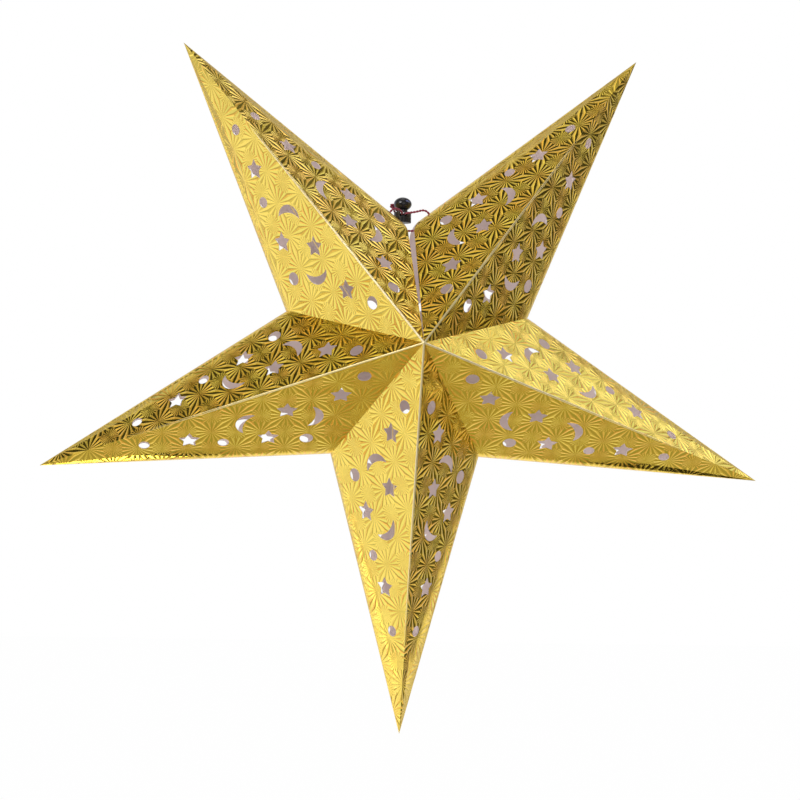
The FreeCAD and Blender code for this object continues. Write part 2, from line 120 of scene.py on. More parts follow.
class FoilSettings(bpy.types.PropertyGroup):
    colour: FloatVectorProperty(
        name="Gold", description="Colour of the metallised film", subtype="COLOR",
        size=4, min=0, max=1, default=(0.98, 0.70, 0.075, 1),
    )
    # The ground's deeper gold is painted shade between the embossed rays; the film's own colour is
    # even.
    shade: FloatVectorProperty(
        name="Painted shade gold", description="Colour of the ground between the embossed rays",
        subtype="COLOR", size=4, min=0, max=1, default=(0.86, 0.58, 0.062, 1),
    )
    glint: FloatVectorProperty(
        name="Glint", description="Warmer colour that some rays split the light into",
        subtype="COLOR", size=4, min=0, max=1, default=(1.0, 0.54, 0.050, 1),
    )
    pitch: FloatProperty(
        name="Burst pitch", description="Distance between two bursts in a row", subtype="DISTANCE",
        default=0.028,
    )
    rays: IntProperty(name="Rays", description="Rays in a large burst", default=16)
    fine_rays: IntProperty(name="Fine rays", description="Rays in a small burst", default=22)
    slope: FloatProperty(
        name="Emboss slope", description="Steepness of the flanks of a large burst's rays",
        default=0.26,
    )
    ground_share: FloatProperty(
        name="Ground share", description="Share of a burst that stays flat between the rays",
        default=0.45,
    )
    roughness: FloatProperty(
        name="Ground roughness", description="Roughness of the film between the rays", default=0.12,
    )
    ray_roughness: FloatProperty(
        name="Ray roughness", description="Roughness of the finely lined rays", default=0.26,
    )
    ray_scatter: FloatProperty(
        name="Ray scatter", description="Share of light that the lined rays scatter all round",
        default=0.23,
    )
    # The bead along each ridge stands for the rounded fold, and its pale colour is a painted
    # highlight.
    crease_radius: FloatProperty(
        name="Crease radius", description="Radius of the rubbed bead along each ridge",
        subtype="DISTANCE", default=0.0008,
    )


class PaperSettings(bpy.types.PropertyGroup):
    colour: FloatVectorProperty(
        name="Backing", description="Colour of the card's bare inner side", subtype="COLOR",
        size=4, min=0, max=1, default=(0.62, 0.53, 0.51, 1),
    )


class CordSettings(bpy.types.PropertyGroup):
    colour: FloatVectorProperty(
        name="Cord", description="Colour of the twisted cord", subtype="COLOR",
        size=4, min=0, max=1, default=(0.17, 0.010, 0.032, 1),
    )
    diameter: FloatProperty(
        name="Diameter", description="Diameter of the twisted cord",
        subtype="DISTANCE", default=0.0018,
    )
    twist: FloatProperty(
        name="Twist", description="Length of one full turn of the strands", subtype="DISTANCE",
        default=0.0052,
    )
    length: FloatProperty(
        name="Length", description="Length of the cord from knot to knot", subtype="DISTANCE",
        default=0.1552,
    )
    knot_size: FloatProperty(
        name="Knot size", description="Radius of the knot's loops",
        subtype="DISTANCE", default=0.0026,
    )


class LockSettings(bpy.types.PropertyGroup):
    barrel: FloatVectorProperty(
        name="Barrel", description="Colour of the ribbed barrel", subtype="COLOR",
        size=4, min=0, max=1, default=(0.012, 0.011, 0.012, 1),
    )
    button: FloatVectorProperty(
        name="Button", description="Colour of the ball button", subtype="COLOR",
        size=4, min=0, max=1, default=(0.014, 0.013, 0.014, 1),
    )
    wire: FloatVectorProperty(
        name="Spring wire", description="Colour of the spring", subtype="COLOR",
        size=4, min=0, max=1, default=(0.55, 0.55, 0.56, 1),
    )


class StageSettings(bpy.types.PropertyGroup):
    floor_drop: FloatProperty(
        name="Floor drop", description="How far the floor lies under the lowest tip",
        subtype="DISTANCE", default=0.40,
    )
    floor_colour: FloatVectorProperty(
        name="Floor", description="Colour of the floor", subtype="COLOR",
        size=4, min=0, max=1, default=(0.80, 0.80, 0.80, 1),
    )
    tent_radius: FloatProperty(
        name="Tent radius", description="Radius of the soft light tent",
        subtype="DISTANCE", default=3.4,
    )
    tent_level: FloatProperty(
        name="Tent level", description="Brightness of the tent between its panels", default=0.05,
    )
    key_power: FloatProperty(
        name="Key light", description="Power of the key light", unit="POWER", default=22,
    )
    side_power: FloatProperty(
        name="Side light", description="Power of the small softbox by the lower right point",
        unit="POWER", default=1.1,
    )
    inner_power: FloatProperty(
        name="Inner light", description="Power of each soft light inside the star", unit="POWER",
        default=0.024,
    )


SETTINGS = {
    "star_foil": FoilSettings,
    "star_paper": PaperSettings,
    "star_cord": CordSettings,
    "star_lock": LockSettings,
    "star_stage": StageSettings,
}


def settings(name):
    return getattr(bpy.context.scene, name)


# Node helpers


class Nodes:
    """Adds and joins nodes of one tree; a value may be a number or another node's socket."""

    def __init__(self, tree):
        self.tree = tree

    def add(self, kind, values=(), **options):
        made = self.tree.nodes.new(kind)
        for name, value in options.items():
            setattr(made, name, value)
        self.fill(made, values)
        return made

    def fill(self, made, values):
        pairs = values.items() if isinstance(values, dict) else enumerate(values)
        for key, value in pairs:
            if isinstance(value, bpy.types.NodeSocket):
                self.tree.links.new(value, made.inputs[key])
            else:
                made.inputs[key].default_value = value

    def math(self, operation, *values):
        return self.add("ShaderNodeMath", values, operation=operation).outputs[0]

    def vector(self, operation, *values):
        made = self.add("ShaderNodeVectorMath", values, operation=operation)
        return made.outputs["Value" if operation in ("LENGTH", "DOT_PRODUCT") else "Vector"]

    def scaled(self, vector, factor):
        values = {0: vector, 3: factor}
        return self.add("ShaderNodeVectorMath", values, operation="SCALE").outputs[0]

    def ramp(self, value, low, high):
        """0 up to the low value, 1 from the high value on."""
        return self.add("ShaderNodeMapRange", [value, low, high]).outputs[0]

    def mix(self, share, first, second):
        made = self.add("ShaderNodeMix", data_type="RGBA")
        self.fill(made, {0: share, 6: first, 7: second})
        return made.outputs[2]

    def body_place(self):
        return self.add("ShaderNodeTexCoord").outputs["Object"]

    def noise(self, place, scale, detail=2.0):
        values = {"Vector": place, "Scale": scale, "Detail": detail}
        return self.add("ShaderNodeTexNoise", values).outputs[0]


def new_material(name):
    """A node material with its helper and its Principled shader."""
    material = bpy.data.materials.new(name)
    material.use_nodes = True
    nodes = Nodes(material.node_tree)
    shader = material.node_tree.nodes["Principled BSDF"]
    return material, nodes, shader


def emptied_nodes(block):
    """The helper for the emptied node tree of a material or world."""
    block.use_nodes = True
    block.node_tree.nodes.clear()
    return Nodes(block.node_tree)


def toned(colour, share, lift=0.0):
    """A colour made darker or lighter by a share of itself."""
    return tuple(min(1, share * part + lift) for part in colour[:3]) + (1,)


def add_object(name, data):
    made = bpy.data.objects.new(name, data)
    bpy.context.scene.collection.objects.link(made)
    return made


def set_materials(mesh, materials):
    mesh.materials.clear()
    for material in materials:
        mesh.materials.append(material)


def bump(nodes, shader, height, distance):
    made = nodes.add("ShaderNodeBump", {"Distance": distance, "Height": height})
    nodes.fill(shader, {"Normal": made.outputs["Normal"]})


def burst(nodes, cell, rays):
    """Rays about the middle of a cell: the triangle wave across them and the distance out."""
    parts = nodes.add("ShaderNodeSeparateXYZ", [cell])
    angle = nodes.math("ARCTAN2", parts.outputs[1], parts.outputs[0])
    turns = nodes.math("MULTIPLY", angle, rays / (2 * math.pi))
    wave = nodes.math("MULTIPLY", nodes.math("PINGPONG", turns, 0.5), 2.0)
    return wave, nodes.vector("LENGTH", cell)


# Slope of a small burst's rays, as a share of a large burst's.
FINE_SLOPE = 0.90
# A large burst ends where it is this much farther away than the small one, in pitches.
LARGE_MARGIN = 0.16
# Where the lined part of a ray starts and is full, on the wave across it.
LARGE_RAY_EDGES = (0.46, 0.62)
FINE_RAY_EDGES = (0.40, 0.60)
# Slow waviness of the card, in the shading only: its scale and its height in pitches.
SWAY_SCALE = 11.0
SWAY_HEIGHT = 0.10
# Patches of warm and olive tint, and the olive of the ground, kept darker than the rays as painted
# shade.
TINT_SCALE = 48.0
TINT_EDGES = (0.36, 0.64)
OLIVE = (0.74, 0.57, 0.060, 1)


def foil_material():
    """Gold film embossed with large bursts on a square lattice and small ones between them."""
    foil = settings("star_foil")
    material, nodes, shader = new_material("embossed_gold_foil")
    place = nodes.add("ShaderNodeUVMap", uv_map="film").outputs[0]
    per_pitch = (1 / foil.pitch,) * 3
    lattice = nodes.add("ShaderNodeMapping", {"Vector": place, "Scale": per_pitch}).outputs[0]
    half = (0.5, 0.5, 0.0)
    large_cell = nodes.vector("SUBTRACT", nodes.vector("FRACTION", lattice), half)
    moved = nodes.vector("ADD", lattice, half)
    small_cell = nodes.vector("SUBTRACT", nodes.vector("FRACTION", moved), half)
    wave, reach = burst(nodes, large_cell, foil.rays)
    fine_wave, fine_reach = burst(nodes, small_cell, foil.fine_rays)
    border = nodes.math("ADD", fine_reach, LARGE_MARGIN)
    inside = nodes.math("LESS_THAN", reach, border)
    outside = nodes.math("SUBTRACT", 1.0, inside)

    def by_burst(large, fine):
        """The large burst's value inside it, and the small burst's outside."""
        large_part = nodes.math("MULTIPLY", large, inside)
        fine_part = nodes.math("MULTIPLY", fine, outside)
        return nodes.math("ADD", large_part, fine_part)

    def ray_height(wave, reach, gain):
        """Height of the rays: the ground stays flat, and only their own share of a turn rises."""
        ridge = nodes.ramp(wave, foil.ground_share, 1.0)
        return nodes.math("MULTIPLY", nodes.math("MULTIPLY", ridge, reach), gain)

    flank = foil.slope * (1 - foil.ground_share) * math.pi
    large_height = ray_height(wave, reach, flank / foil.rays)
    fine_height = ray_height(fine_wave, fine_reach, FINE_SLOPE * flank / foil.fine_rays)
    sway = nodes.math("MULTIPLY", nodes.noise(nodes.body_place(), SWAY_SCALE), SWAY_HEIGHT)
    height = nodes.math("ADD", by_burst(large_height, fine_height), sway)
    bump(nodes, shader, height, foil.pitch)
    # The rays are finely lined, so they scatter light from all round; the ground mirrors.
    large_ray = nodes.ramp(wave, *LARGE_RAY_EDGES)
    fine_ray = nodes.ramp(fine_wave, *FINE_RAY_EDGES)
    ray = by_burst(large_ray, fine_ray)
    spread = foil.ray_roughness - foil.roughness
    roughness = nodes.math("ADD", nodes.math("MULTIPLY", ray, spread), foil.roughness)
    tint = nodes.ramp(nodes.noise(place, TINT_SCALE, detail=1.0), *TINT_EDGES)
    lined = nodes.mix(tint, foil.colour, foil.glint)
    # The ground is painted a deeper gold than the rays: painted shade that stands in for the
    # embossing's reflections.
    ground = nodes.mix(tint, foil.shade, OLIVE)
    metal = nodes.math("SUBTRACT", 1.0, nodes.math("MULTIPLY", ray, foil.ray_scatter))
    nodes.fill(shader, {"Base Color": nodes.mix(ray, ground, lined)})
    nodes.fill(shader, {"Roughness": roughness, "Metallic": metal})
    return material


def paper_material():
    """Bare greyish card with a faint fibre."""
    material, nodes, shader = new_material("card_backing")
    fibre = nodes.noise(nodes.body_place(), scale=900.0, detail=4.0)
    paper = settings("star_paper").colour
    nodes.fill(shader, {"Base Color": nodes.mix(fibre, toned(paper, 0.9), paper)})
    shader.inputs["Roughness"].default_value = 0.85
    bump(nodes, shader, fibre, distance=0.00008)
    return material


def crease_material():
    """Pale gold bead along a fold: its colour is a painted highlight on the ridge."""
    material, nodes, shader = new_material("painted_ridge_highlight")
    highlight_mottle = nodes.noise(nodes.body_place(), scale=140.0, detail=3.0)
    # The pale gold is a painted highlight along the ridge; the noise only mottles it.
    pale, warm = (1.0, 0.88, 0.50, 1), (1.0, 0.76, 0.30, 1)
    nodes.fill(shader, {"Base Color": nodes.mix(highlight_mottle, pale, warm)})
    shader.inputs["Metallic"].default_value = 0.70
    shader.inputs["Roughness"].default_value = 0.34
    bump(nodes, shader, highlight_mottle, distance=0.0002)
    return material


def cord_material():
    """Twisted yarn with fine fibres."""
    material, nodes, shader = new_material("twisted_cord")
    fibre = nodes.noise(nodes.body_place(), scale=2600.0, detail=3.0)
    colour = settings("star_cord").colour
    lighter = toned(colour, 1.9, lift=0.01)
    nodes.fill(shader, {"Base Color": nodes.mix(fibre, colour, lighter)})
    shader.inputs["Roughness"].default_value = 0.75
    shader.inputs["Sheen Weight"].default_value = 0.3
    bump(nodes, shader, fibre, distance=0.00015)
    return material


def plastic_material(name, colour, roughness, grain):
    """Moulded plastic with a fine grain."""
    material, nodes, shader = new_material(name)
    spots = nodes.noise(nodes.body_place(), grain)
    nodes.fill(shader, {"Base Color": nodes.mix(spots, colour, toned(colour, 1.6))})
    shader.inputs["Roughness"].default_value = roughness
    bump(nodes, shader, spots, distance=0.00005)
    return material


def steel_material():
    """Drawn spring wire."""
    material, nodes, shader = new_material("spring_steel")
    streak = nodes.noise(nodes.body_place(), scale=3000.0)
    wire, bright = settings("star_lock").wire, (0.72, 0.72, 0.74, 1)
    nodes.fill(shader, {"Base Color": nodes.mix(streak, wire, bright)})
    shader.inputs["Metallic"].default_value = 1.0
    shader.inputs["Roughness"].default_value = 0.35
    bump(nodes, shader, streak, distance=0.00003)
    return material


# Copies of the CAD's pieces

WELD_DISTANCE = 1e-6
# A face that looks outward by more than this share carries foil; the others are bare card.
FOIL_FACING = 0.3
SHARP_ANGLE = math.radians(25)


def welded_copy(name, new_name, materials):
    """A copy of one piece's mesh in new materials, with its welded bmesh still to be written."""
    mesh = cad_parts[name].data.copy()
    mesh.name = new_name
    set_materials(mesh, materials)
    work = bmesh.new()
    work.from_mesh(mesh)
    bmesh.ops.remove_doubles(work, verts=work.verts, dist=WELD_DISTANCE)
    return mesh, work


def flat_face_axes():
    """The face right of the tip in a point's own frame: tip, along its fold, across, outward."""
    half_pitch = POINT_PITCH / 2
    bend_centre = NOTCH_RADIUS - BEND_RADIUS
    apex_reach = math.hypot(HALF_DEPTH, bend_centre)
    lean = math.asin(BEND_RADIUS / apex_reach) + math.atan(bend_centre / HALF_DEPTH)
    sharp_notch = HALF_DEPTH * math.tan(lean)
    tip = Vector((TIP_RADIUS, 0, 0))
    notch = Vector((sharp_notch * math.cos(half_pitch), sharp_notch * math.sin(half_pitch), 0))
    apex = Vector((0, 0, HALF_DEPTH))
    along = (notch - tip).normalized()
    rise = apex - tip
    across = (rise - along * rise.dot(along)).normalized()
    outward = across.cross(along)
    if outward.z < 0:
        outward.negate()
    return tip, along, across, outward


def arm_angle(index):
    return BOTTOM_ARM + (index - MIDDLE_CARD) * POINT_PITCH


def arm_place(index, reach):
    """The place along the middle of one point, at this distance from the star's centre."""
    angle = arm_angle(index)
    return STAR_CENTRE + Vector((reach * math.cos(angle), 0, reach * math.sin(angle)))


def into_point(vector, angle, is_place=True):
    """From the frame into a point's own frame: X along its arm, Z towards the front."""
    x, up = vector.x, vector.z
    if is_place:
        up += NOTCH_RADIUS
    cosine, sine = math.cos(angle), math.sin(angle)
    return Vector((x * cosine + up * sine, up * cosine - x * sine, -vector.y))


def dress_card(name, index, materials):
    """A copy of one card with film coordinates: foil outside, bare card inside and on the cuts."""
    mesh, work = welded_copy(name, name + "_foil", materials)
    layer = work.loops.layers.uv.new("film")
    tip, along, across, outward = flat_face_axes()
    arm = arm_angle(index)
    turn = math.radians(FILM_TURNS[index])
    cosine, sine = math.cos(turn), math.sin(turn)
    for face in work.faces:
        middle = into_point(face.calc_center_median(), arm)
        side = 1 if middle.y >= 0 else -1
        front = 1 if middle.z >= 0 else -1
        normal = into_point(face.normal, arm, is_place=False)
        facing = Vector((normal.x, normal.y * side, normal.z * front)).dot(outward)
        face.material_index = 0 if facing > FOIL_FACING else 1
        face.smooth = True
        for loop in face.loops:
            place = into_point(loop.vert.co, arm)
            spot = Vector((place.x, place.y * side, place.z * front)) - tip
            run, rise = spot.dot(along), spot.dot(across)
            loop[layer].uv = (run * cosine - rise * sine, run * sine + rise * cosine)
    work.to_mesh(mesh)
    work.free()
    mesh.set_sharp_from_angle(angle=SHARP_ANGLE)
    card = add_object(name + "_foil", mesh)
    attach(card, STAR_BODY)
    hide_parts(name)


def dress_spring(material):
    """A copy of the cord lock's coil in its own mesh."""
    mesh, work = welded_copy("cord_lock_spring", "press_spring", [material])
    work.to_mesh(mesh)
    work.free()
    spring = add_object("press_spring", mesh)
    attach(spring, STAR_BODY)
    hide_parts("cord_lock_spring")
    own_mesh(spring)


# Geometry Nodes pieces


def node_group(name, inputs):
    """A geometry tree with named inputs: its helper, group input and group output."""
    tree = bpy.data.node_groups.new(name, "GeometryNodeTree")
    tree.interface.new_socket("Geometry", in_out="INPUT", socket_type="NodeSocketGeometry")
    for label, value in inputs.items():
        kind = "NodeSocketInt" if isinstance(value, int) else "NodeSocketFloat"
        tree.interface.new_socket(label, in_out="INPUT", socket_type=kind)
    tree.interface.new_socket("Geometry", in_out="OUTPUT", socket_type="NodeSocketGeometry")
    nodes = Nodes(tree)
    return nodes, nodes.add("NodeGroupInput"), nodes.add("NodeGroupOutput")


def bake(source, nodes, inputs, name, body):
    """Evaluates the tree on a source object and keeps the result as one plain mesh."""
    modifier = source.modifiers.new(name, "NODES")
    modifier.node_group = nodes.tree
    for item in nodes.tree.interface.items_tree:
        if item.item_type == "SOCKET" and item.in_out == "INPUT" and item.name in inputs:
            modifier[item.identifier] = inputs[item.name]
    evaluated = source.evaluated_get(bpy.context.evaluated_depsgraph_get())
    mesh = bpy.data.meshes.new_from_object(evaluated)
    mesh.name = name
    bpy.data.objects.remove(source)
    if not len(mesh.polygons):
        raise RuntimeError(name + " came out empty")
    piece = add_object(name, mesh)
    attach(piece, body)
    return piece


# Points of a smooth spline between two of its control points.
SPLINE_STEPS = 12


def curve_object(name, lines, order=0, cyclic=False):
    """A curve of straight lines, or of smooth splines with the given order."""
    data = bpy.data.curves.new(name, "CURVE")
    data.dimensions = "3D"
    for points in lines:
        spline = data.splines.new("NURBS" if order else "POLY")
        spline.points.add(len(points) - 1)
        for point, place in zip(spline.points, points):
            point.co = (*place, 1)
        spline.use_cyclic_u = cyclic
        if order:
            spline.use_endpoint_u = not cyclic
            spline.order_u = order
            spline.resolution_u = SPLINE_STEPS
    return add_object(name, data)


def finish_tube(nodes, result, lines, radius, sides, material):
    """Ends a tree: a round tube along the lines, as real geometry with its material."""
    ring = nodes.add("GeometryNodeCurvePrimitiveCircle", {"Resolution": sides, "Radius": radius})
    tube = nodes.add("GeometryNodeCurveToMesh", {"Curve": lines, "Fill Caps": True})
    nodes.fill(tube, {"Profile Curve": ring.outputs[0]})
    smooth = nodes.add("GeometryNodeSetShadeSmooth", {"Geometry": tube.outputs[0]})
    real = nodes.add("GeometryNodeRealizeInstances", {"Geometry": smooth.outputs[0]})
    coloured = nodes.add("GeometryNodeSetMaterial", {"Geometry": real.outputs[0]})
    nodes.fill(coloured, {"Material": material})
    nodes.fill(result, {"Geometry": coloured.outputs[0]})


def bead_tree(material):
    """A round bead along every line."""
    inputs = {"Bead Radius": 0.001, "Sides": 8, "Steps": 40}
    nodes, given, result = node_group("crease_bead", inputs)
    line = nodes.add("GeometryNodeResampleCurve", {"Curve": given.outputs["Geometry"]})
    nodes.fill(line, {"Count": given.outputs["Steps"]})
    radius, sides = given.outputs["Bead Radius"], given.outputs["Sides"]
    finish_tube(nodes, result, line.outputs[0], radius, sides, material)
    return nodes, inputs


STRAND_SIDES = 8


def strand_tree(material):
    """Strands wound round each line."""
    inputs = {
        "Strand Radius": 0.0005,
        "Wind Radius": 0.0004,
        "Turn Length": 0.005,
        "Step": 0.0003,
        "Strands": 2,
    }
    nodes, given, result = node_group("twisted_strands", inputs)
    full_turn = 2 * math.pi
    line = nodes.add("GeometryNodeResampleCurve", mode="LENGTH")
    nodes.fill(line, {"Curve": given.outputs["Geometry"], "Length": given.outputs["Step"]})
    upright = nodes.add("GeometryNodeSetCurveNormal", {"Curve": line.outputs[0]})
    copies = nodes.add("GeometryNodeDuplicateElements", domain="SPLINE")
    nodes.fill(copies, {"Geometry": upright.outputs[0], "Amount": given.outputs["Strands"]})
    run = nodes.add("GeometryNodeSplineParameter").outputs["Length"]
    turns = nodes.math("DIVIDE", run, given.outputs["Turn Length"])
    wound = nodes.math("MULTIPLY", turns, full_turn)
    start = nodes.math("DIVIDE", copies.outputs["Duplicate Index"], given.outputs["Strands"])
    angle = nodes.math("ADD", wound, nodes.math("MULTIPLY", start, full_turn))
    normal = nodes.add("GeometryNodeInputNormal").outputs[0]
    tangent = nodes.add("GeometryNodeInputTangent").outputs[0]
    beside = nodes.vector("CROSS_PRODUCT", tangent, normal)
    first = nodes.scaled(normal, nodes.math("COSINE", angle))
    second = nodes.scaled(beside, nodes.math("SINE", angle))
    offset = nodes.scaled(nodes.vector("ADD", first, second), given.outputs["Wind Radius"])
    placed = nodes.add("GeometryNodeSetPosition", {"Geometry": copies.outputs[0], "Offset": offset})
    radius = given.outputs["Strand Radius"]
    finish_tube(nodes, result, placed.outputs[0], radius, STRAND_SIDES, material)
    return nodes, inputs


def route_points(points):
    """The smooth line of a route, as points in order."""
    line = curve_object("route", [points], order=3)
    evaluated = line.evaluated_get(bpy.context.evaluated_depsgraph_get())
    mesh = bpy.data.meshes.new_from_object(evaluated)
    places = [tuple(vertex.co) for vertex in mesh.vertices]
    bpy.data.meshes.remove(mesh)
    bpy.data.objects.remove(line)
    return places


KNOT_STEPS = 60
# Half the knot's thickness, where its loops reach out to 3.
KNOT_DEPTH = 1.4
# Radius and distance from the cord's middle of one strand, as shares of the cord's diameter.
STRAND_SHARE = 0.29
WIND_SHARE = 0.25


def knot_points(size):
    """One closed trefoil about the knot's centre."""
    places = []
    for step in range(KNOT_STEPS):
        turn = 2 * math.pi * step / KNOT_STEPS
        x = math.sin(turn) + 2 * math.sin(2 * turn)
        y = math.cos(turn) - 2 * math.cos(2 * turn)
        z = -KNOT_DEPTH * math.sin(3 * turn)
        places.append(tuple(KNOT_CENTRE + Vector((x, z, y)) * size / 3))
    return places


def wound_piece(name, places, material, cyclic=False):
    """Strands wound along a line of places, as one piece of the cord."""
    cord = settings("star_cord")
    nodes, inputs = strand_tree(material)
    inputs["Strand Radius"] = STRAND_SHARE * cord.diameter
    inputs["Wind Radius"] = WIND_SHARE * cord.diameter
    inputs["Turn Length"] = cord.twist
    source = curve_object(name + "_line", [places], cyclic=cyclic)
    return bake(source, nodes, inputs, name, STAR_BODY)


# Operators

# How far a crease's bead ends before the tip, and under the apex in the middle.
CREASE_TIP_GAP = 0.004
CREASE_SINK = 0.0006


class STAR_OT_cards(bpy.types.Operator):
    """Dresses the five folded cards in embossed film"""

    bl_idname = "star.cards"
    bl_label = "Foil Cards"

    def execute(self, context):
        materials = (foil_material(), paper_material())
        for index, name in enumerate(CARDS):
            dress_card(name, index, materials)
        return {"FINISHED"}


class STAR_OT_creases(bpy.types.Operator):
    """Runs a pale bead along the ridges of the five points, a painted highlight"""

    bl_idname = "star.creases"
    bl_label = "Ridge Creases"

    def execute(self, context):
        foil = settings("star_foil")
        lines = []
        for index in range(len(CARDS)):
            tip = arm_place(index, TIP_RADIUS - CREASE_TIP_GAP)
            for front in (-1, 1):
                apex = STAR_CENTRE + Vector((0, front * (HALF_DEPTH - CREASE_SINK), 0))
                lines.append([tip, apex])
        nodes, inputs = bead_tree(crease_material())
        inputs["Bead Radius"] = foil.crease_radius
        source = curve_object("crease_lines", lines)
        bake(source, nodes, inputs, "ridge_creases", STAR_BODY)
        return {"FINISHED"}


class STAR_OT_cord(bpy.types.Operator):
    """Lays the twisted drawcord through the lock and the card holes and ties its knot"""

    bl_idname = "star.cord"
    bl_label = "Drawcord"

    def execute(self, context):
        cord = settings("star_cord")
        material = cord_material()
        places = route_points(CORD_ROUTE)
        strands = wound_piece("drawcord", places, material)
        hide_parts("tie_cord")
        knot_line = knot_points(cord.knot_size)
        knot = wound_piece("drawcord_knot", knot_line, material, cyclic=True)
        return {"FINISHED"}


class STAR_OT_lock(bpy.types.Operator):
    """Finishes the cord lock's barrel, ball button and spring"""

    bl_idname = "star.lock"
    bl_label = "Cord Lock"

    def execute(self, context):
        lock = settings("star_lock")
        finishes = {
            "cord_lock_barrel": plastic_material(
                "ribbed_barrel", tuple(lock.barrel), roughness=0.42, grain=1500.0
            ),
            "cord_lock_button": plastic_material(
                "gloss_button", tuple(lock.button), roughness=0.16, grain=900.0
            ),
        }
        for name, material in finishes.items():
            set_materials(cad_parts[name].data, [material])
        dress_spring(steel_material())
        return {"FINISHED"}


# Colours of the tent's panels.
PLAIN = (1.0, 1.0, 1.0)
COOL = (0.86, 0.97, 1.90)

# Panels of the light tent: direction of the middle, half width in degrees, brightness, colour.
TENT_PANELS = (
    ((-0.92, 0.24, -0.30), 13, 0.88, COOL),
    ((-0.92, 0.10, -0.20), 42, 0.45, COOL),
    ((-0.60, -0.30, 0.75), 15, 0.72, PLAIN),
    ((-0.75, -0.65, -0.20), 12, 1.20, COOL),
    ((-0.55, 0.60, -0.65), 12, 0.90, PLAIN),
    ((0.0, 1.0, 0.0), 60, 0.70, PLAIN),
    ((0.0, 0.24, -0.97), 58, 0.39, PLAIN),
    ((0.95, -0.15, -0.10), 11, 1.00, PLAIN),
    ((0.61, -0.12, 0.79), 14, 2.40, COOL),
    ((0.75, 0.30, -0.75), 12, 0.70, PLAIN),
    ((0.0, 0.10, 1.0), 16, 0.90, PLAIN),
    ((0.10, -1.0, 0.10), 20, 0.70, PLAIN),
)
# Where a panel's soft edge starts and ends, as shares of its half width.
PANEL_EDGES = (1.2, 0.8)

# Distance from the floor's middle to its sides, and how much of its own glow the camera sees.
FLOOR_REACH = 8
FLOOR_GLOW = 0.985
# Brightness with which the surroundings light the star; the camera sees them pure white.
WORLD_LIGHT = 0.80

# The two soft lights: places and aim in the frame, sizes in metres.
KEY_LIGHT_PLACE = (-1.3, -1.5, 1.1)
KEY_LIGHT_SIZE = 0.9
SIDE_LIGHT_PLACE = (0.86, 0.20, 0.55)
SIDE_LIGHT_AIM = (0.20, 0.0, -0.16)
SIDE_LIGHT_SIZE = 0.45
SIDE_LIGHT_COLOUR = (0.54, 0.64, 1.0)
# Lamps along the inside of each point: distance from the star's centre, radius, share of power.
INNER_LAMPS = (
    (0.070, 0.020, 1.0),
    (0.150, 0.020, 1.0),
    (0.215, 0.010, 0.42),
    (0.258, 0.005, 0.16),
)


def tent_material(level):
    """Soft white panels on the dark inner side of a tent."""
    material = bpy.data.materials.new("light_tent")
    nodes = emptied_nodes(material)
    from_star = nodes.vector("SUBTRACT", nodes.body_place(), tuple(STAR_CENTRE))
    way = nodes.vector("NORMALIZE", from_star)
    total = (level,) * 3
    for direction, half_width, brightness, colour in TENT_PANELS:
        facing = nodes.vector("DOT_PRODUCT", way, tuple(Vector(direction).normalized()))
        outer, inner = (math.cos(math.radians(half_width * share)) for share in PANEL_EDGES)
        soft = nodes.add("ShaderNodeMapRange", interpolation_type="SMOOTHSTEP")
        nodes.fill(soft, [facing, outer, inner, 0.0, brightness])
        total = nodes.vector("ADD", total, nodes.scaled(colour, soft.outputs[0]))
    glow = nodes.add("ShaderNodeEmission", {"Color": total})
    nodes.add("ShaderNodeOutputMaterial", [glow.outputs[0]])
    return material


def plain_mesh_object(name, build, material):
    """A stage object from a bmesh builder."""
    work = bmesh.new()
    build(work)
    mesh = bpy.data.meshes.new(name)
    work.to_mesh(mesh)
    work.free()
    mesh.materials.append(material)
    made = add_object(name, mesh)
    made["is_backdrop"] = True
    return made


def background_ray(nodes):
    """1 for rays that see the background as the camera does."""
    path = nodes.add("ShaderNodeLightPath").outputs
    seen = nodes.math("MAXIMUM", path["Is Camera Ray"], path["Is Glossy Ray"])
    return nodes.math("MAXIMUM", seen, path["Is Transmission Ray"])


def floor_material(colour):
    """Matt white floor that stays white to the camera and still takes a shadow."""
    material = bpy.data.materials.new("pale_floor")
    nodes = emptied_nodes(material)
    matt = nodes.add("ShaderNodeBsdfDiffuse", {"Color": tuple(colour)})
    glow = nodes.add("ShaderNodeEmission", {"Color": (1, 1, 1, 1), "Strength": 1.0})
    share = nodes.math("MULTIPLY", background_ray(nodes), FLOOR_GLOW)
    both = nodes.add("ShaderNodeMixShader", [share, matt.outputs[0], glow.outputs[0]])
    nodes.add("ShaderNodeOutputMaterial", [both.outputs[0]])
    return material


def make_world():
    """Even white surroundings."""
    world = bpy.data.worlds.new("studio")
    nodes = emptied_nodes(world)
    extra = nodes.math("MULTIPLY", background_ray(nodes), 1 - WORLD_LIGHT)
    strength = nodes.math("ADD", WORLD_LIGHT, extra)
    sky = nodes.add("ShaderNodeBackground", {"Color": (1, 1, 1, 1), "Strength": strength})
    nodes.add("ShaderNodeOutputWorld", [sky.outputs[0]])
    bpy.context.scene.world = world


def add_light(name, place, target, size, power, colour=PLAIN):
    """A soft square light that faces its target and stays out of the picture."""
    data = bpy.data.lights.new(name, "AREA")
    data.size = size
    data.color = colour
    data.energy = power
    lamp = add_object(name, data)
    lamp.location = place
    lamp.rotation_mode = "QUATERNION"
    lamp.rotation_quaternion = (Vector(place) - Vector(target)).to_track_quat("Z", "Y")
    lamp.visible_camera = False


def add_inner_light(name, place, radius, power):
    """A small soft lamp inside the star, for the light that the thin card lets through."""
    data = bpy.data.lights.new(name, "POINT")
    data.shadow_soft_size = radius
    data.energy = power
    add_object(name, data).location = place


